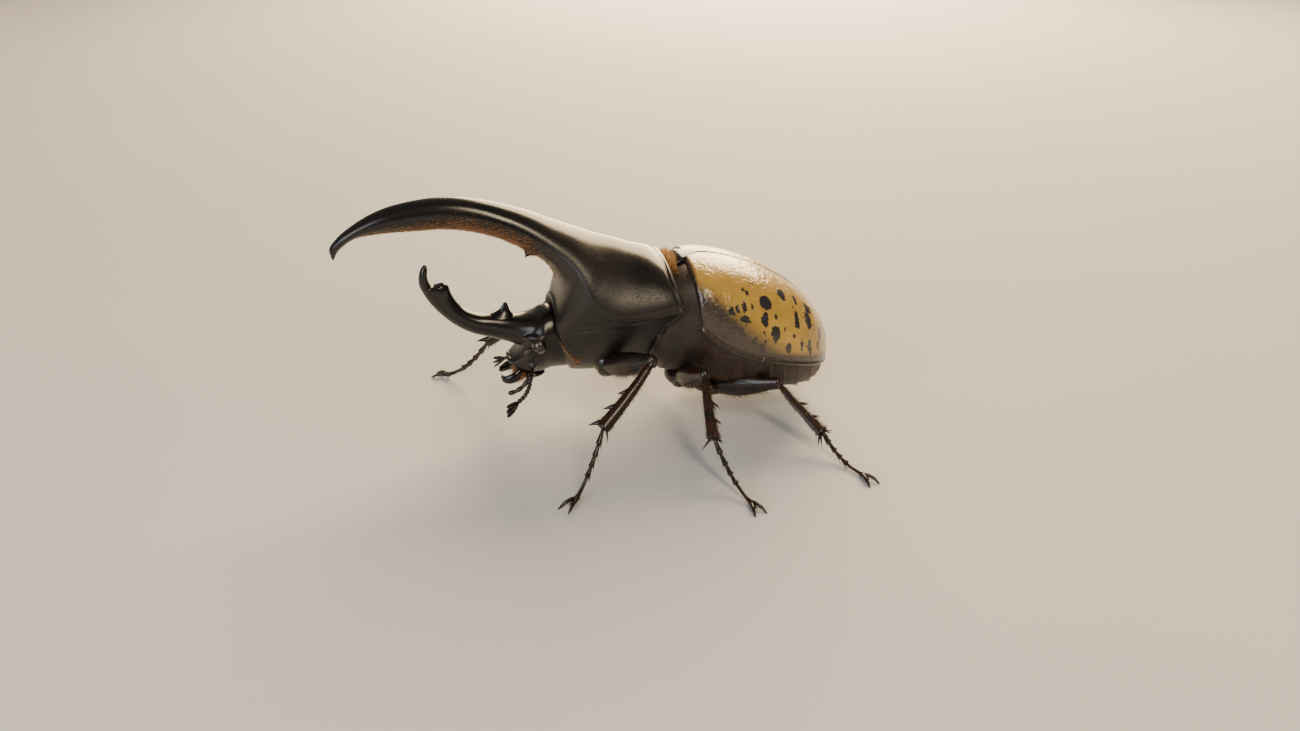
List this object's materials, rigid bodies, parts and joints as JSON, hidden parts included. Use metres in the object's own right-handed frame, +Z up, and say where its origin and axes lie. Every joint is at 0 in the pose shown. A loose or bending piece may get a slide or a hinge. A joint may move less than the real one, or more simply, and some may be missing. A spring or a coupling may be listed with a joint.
{
  "type": "hercules beetle",
  "caption": "Hercules beetle, big male, standing still on the floor with a long curved thoracic horn over a shorter head horn and spotted ochre wing cases.",
  "frame": {"origin": "middle of the bounding box on the floor under the beetle", "axes": "+Z up, the beetle faces -Y and its left side is at +X"},
  "size_m": [0.114, 0.1362, 0.065],
  "materials": {
    "cuticle_black": "polished black cuticle with a warm sheen",
    "elytra_ochre": "glossy olive ochre wing case with black spots",
    "body_brown": "satin dark brown cuticle with reddish hair",
    "leg_brown": "glossy brown-black cuticle with reddish bristles",
    "eye_dark": "glossy finely faceted eye",
    "hair_rust": "short rust orange bristles"
  },
  "bodies": {
    "root": {"pronotum": "cuticle_black", "thoracic_horn": "cuticle_black", "head": "cuticle_black", "head_horn": "cuticle_black", "chin": "cuticle_black", "mandible_left": "cuticle_black", "mandible_right": "cuticle_black", "scutellum": "cuticle_black", "elytron_left": "elytra_ochre", "elytron_right": "elytra_ochre", "hind_thorax": "body_brown", "abdomen": "body_brown", "pygidium": "body_brown", "palp_left": "leg_brown", "palp_right": "leg_brown", "antenna_left": "leg_brown", "antenna_right": "leg_brown", "femur_front_left": "leg_brown", "tibia_front_left": "leg_brown", "tarsus_front_left": "leg_brown", "femur_front_right": "leg_brown", "tibia_front_right": "leg_brown", "tarsus_front_right": "leg_brown", "femur_middle_left": "leg_brown", "tibia_middle_left": "leg_brown", "tarsus_middle_left": "leg_brown", "femur_middle_right": "leg_brown", "tibia_middle_right": "leg_brown", "tarsus_middle_right": "leg_brown", "femur_hind_left": "leg_brown", "tibia_hind_left": "leg_brown", "tarsus_hind_left": "leg_brown", "femur_hind_right": "leg_brown", "tibia_hind_right": "leg_brown", "tarsus_hind_right": "leg_brown", "eye_left": "eye_dark", "eye_right": "eye_dark"}
  },
  "joints": []
}
